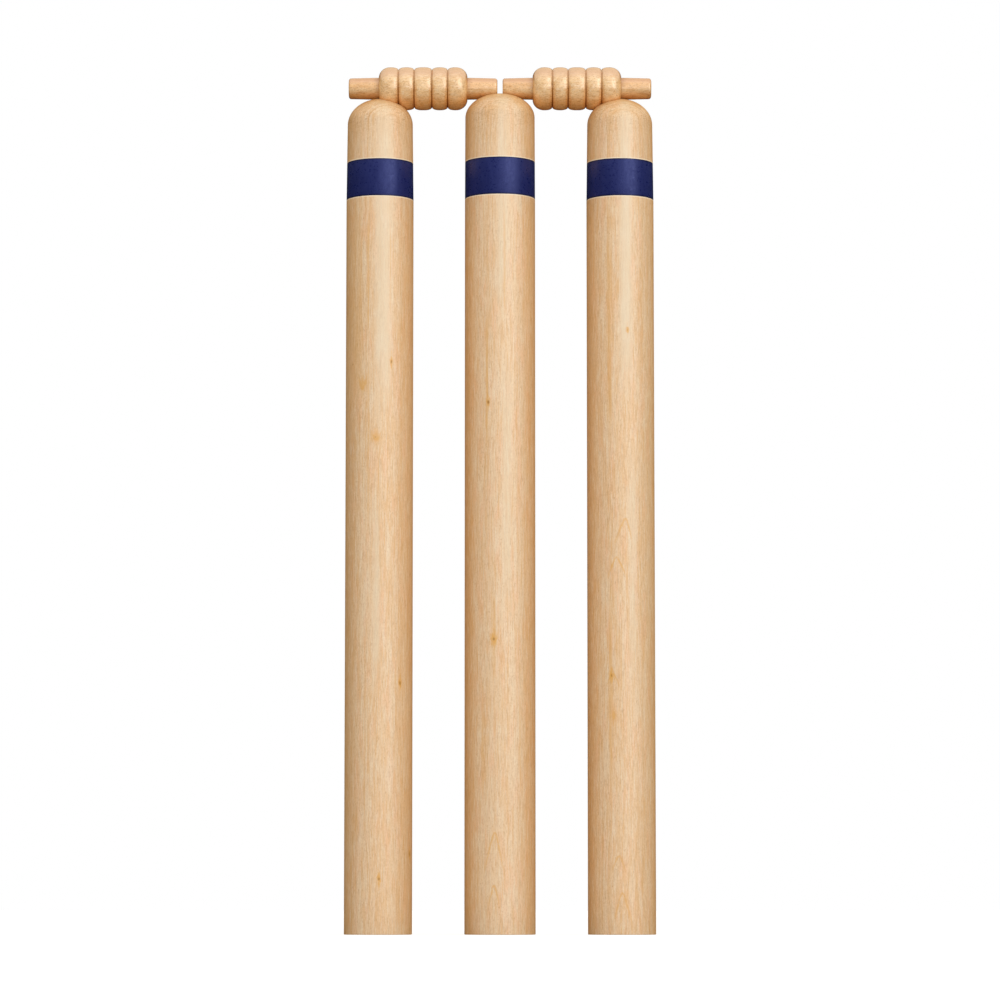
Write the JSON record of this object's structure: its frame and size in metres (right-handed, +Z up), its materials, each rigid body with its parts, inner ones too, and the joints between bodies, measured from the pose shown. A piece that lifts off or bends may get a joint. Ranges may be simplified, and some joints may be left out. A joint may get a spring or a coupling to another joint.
{
  "type": "cricket wicket",
  "caption": "Turned wooden cricket stumps with domed, grooved crowns and navy bands, carrying loose beaded bails.",
  "frame": {"origin": "centre of the middle stump's flat foot, on the surface that the wicket stands on", "axes": "+Z up along the stumps; +X along the wicket, to the right as seen from the front; -Y faces the front"},
  "size_m": [0.2286, 0.0522, 0.6444],
  "materials": {
    "stump_wood": "pale straight-grained wood under satin varnish",
    "bail_wood": "warmer wood with fine dark flecks under glossier varnish",
    "navy_band": "satin navy"
  },
  "bodies": {
    "middle": {"middle_stump": "stump_wood", "middle_band": "navy_band"},
    "left": {"left_stump": "stump_wood", "left_band": "navy_band"},
    "right": {"right_stump": "stump_wood", "right_band": "navy_band"},
    "bail_left": {"left_bail": "bail_wood"},
    "bail_right": {"right_bail": "bail_wood"}
  },
  "joints": [
    {"name": "left_stump_pull", "type": "slide", "parent": "middle", "child": "left", "axis": [0, 0, 1], "range_m": [0, 0.12]},
    {"name": "right_stump_pull", "type": "slide", "parent": "middle", "child": "right", "axis": [0, 0, 1], "range_m": [0, 0.12]},
    {"name": "left_bail_lift", "type": "slide", "parent": "left", "child": "bail_left", "axis": [0, 0, 1], "range_m": [0, 0.06]},
    {"name": "right_bail_lift", "type": "slide", "parent": "right", "child": "bail_right", "axis": [0, 0, 1], "range_m": [0, 0.06]}
  ]
}
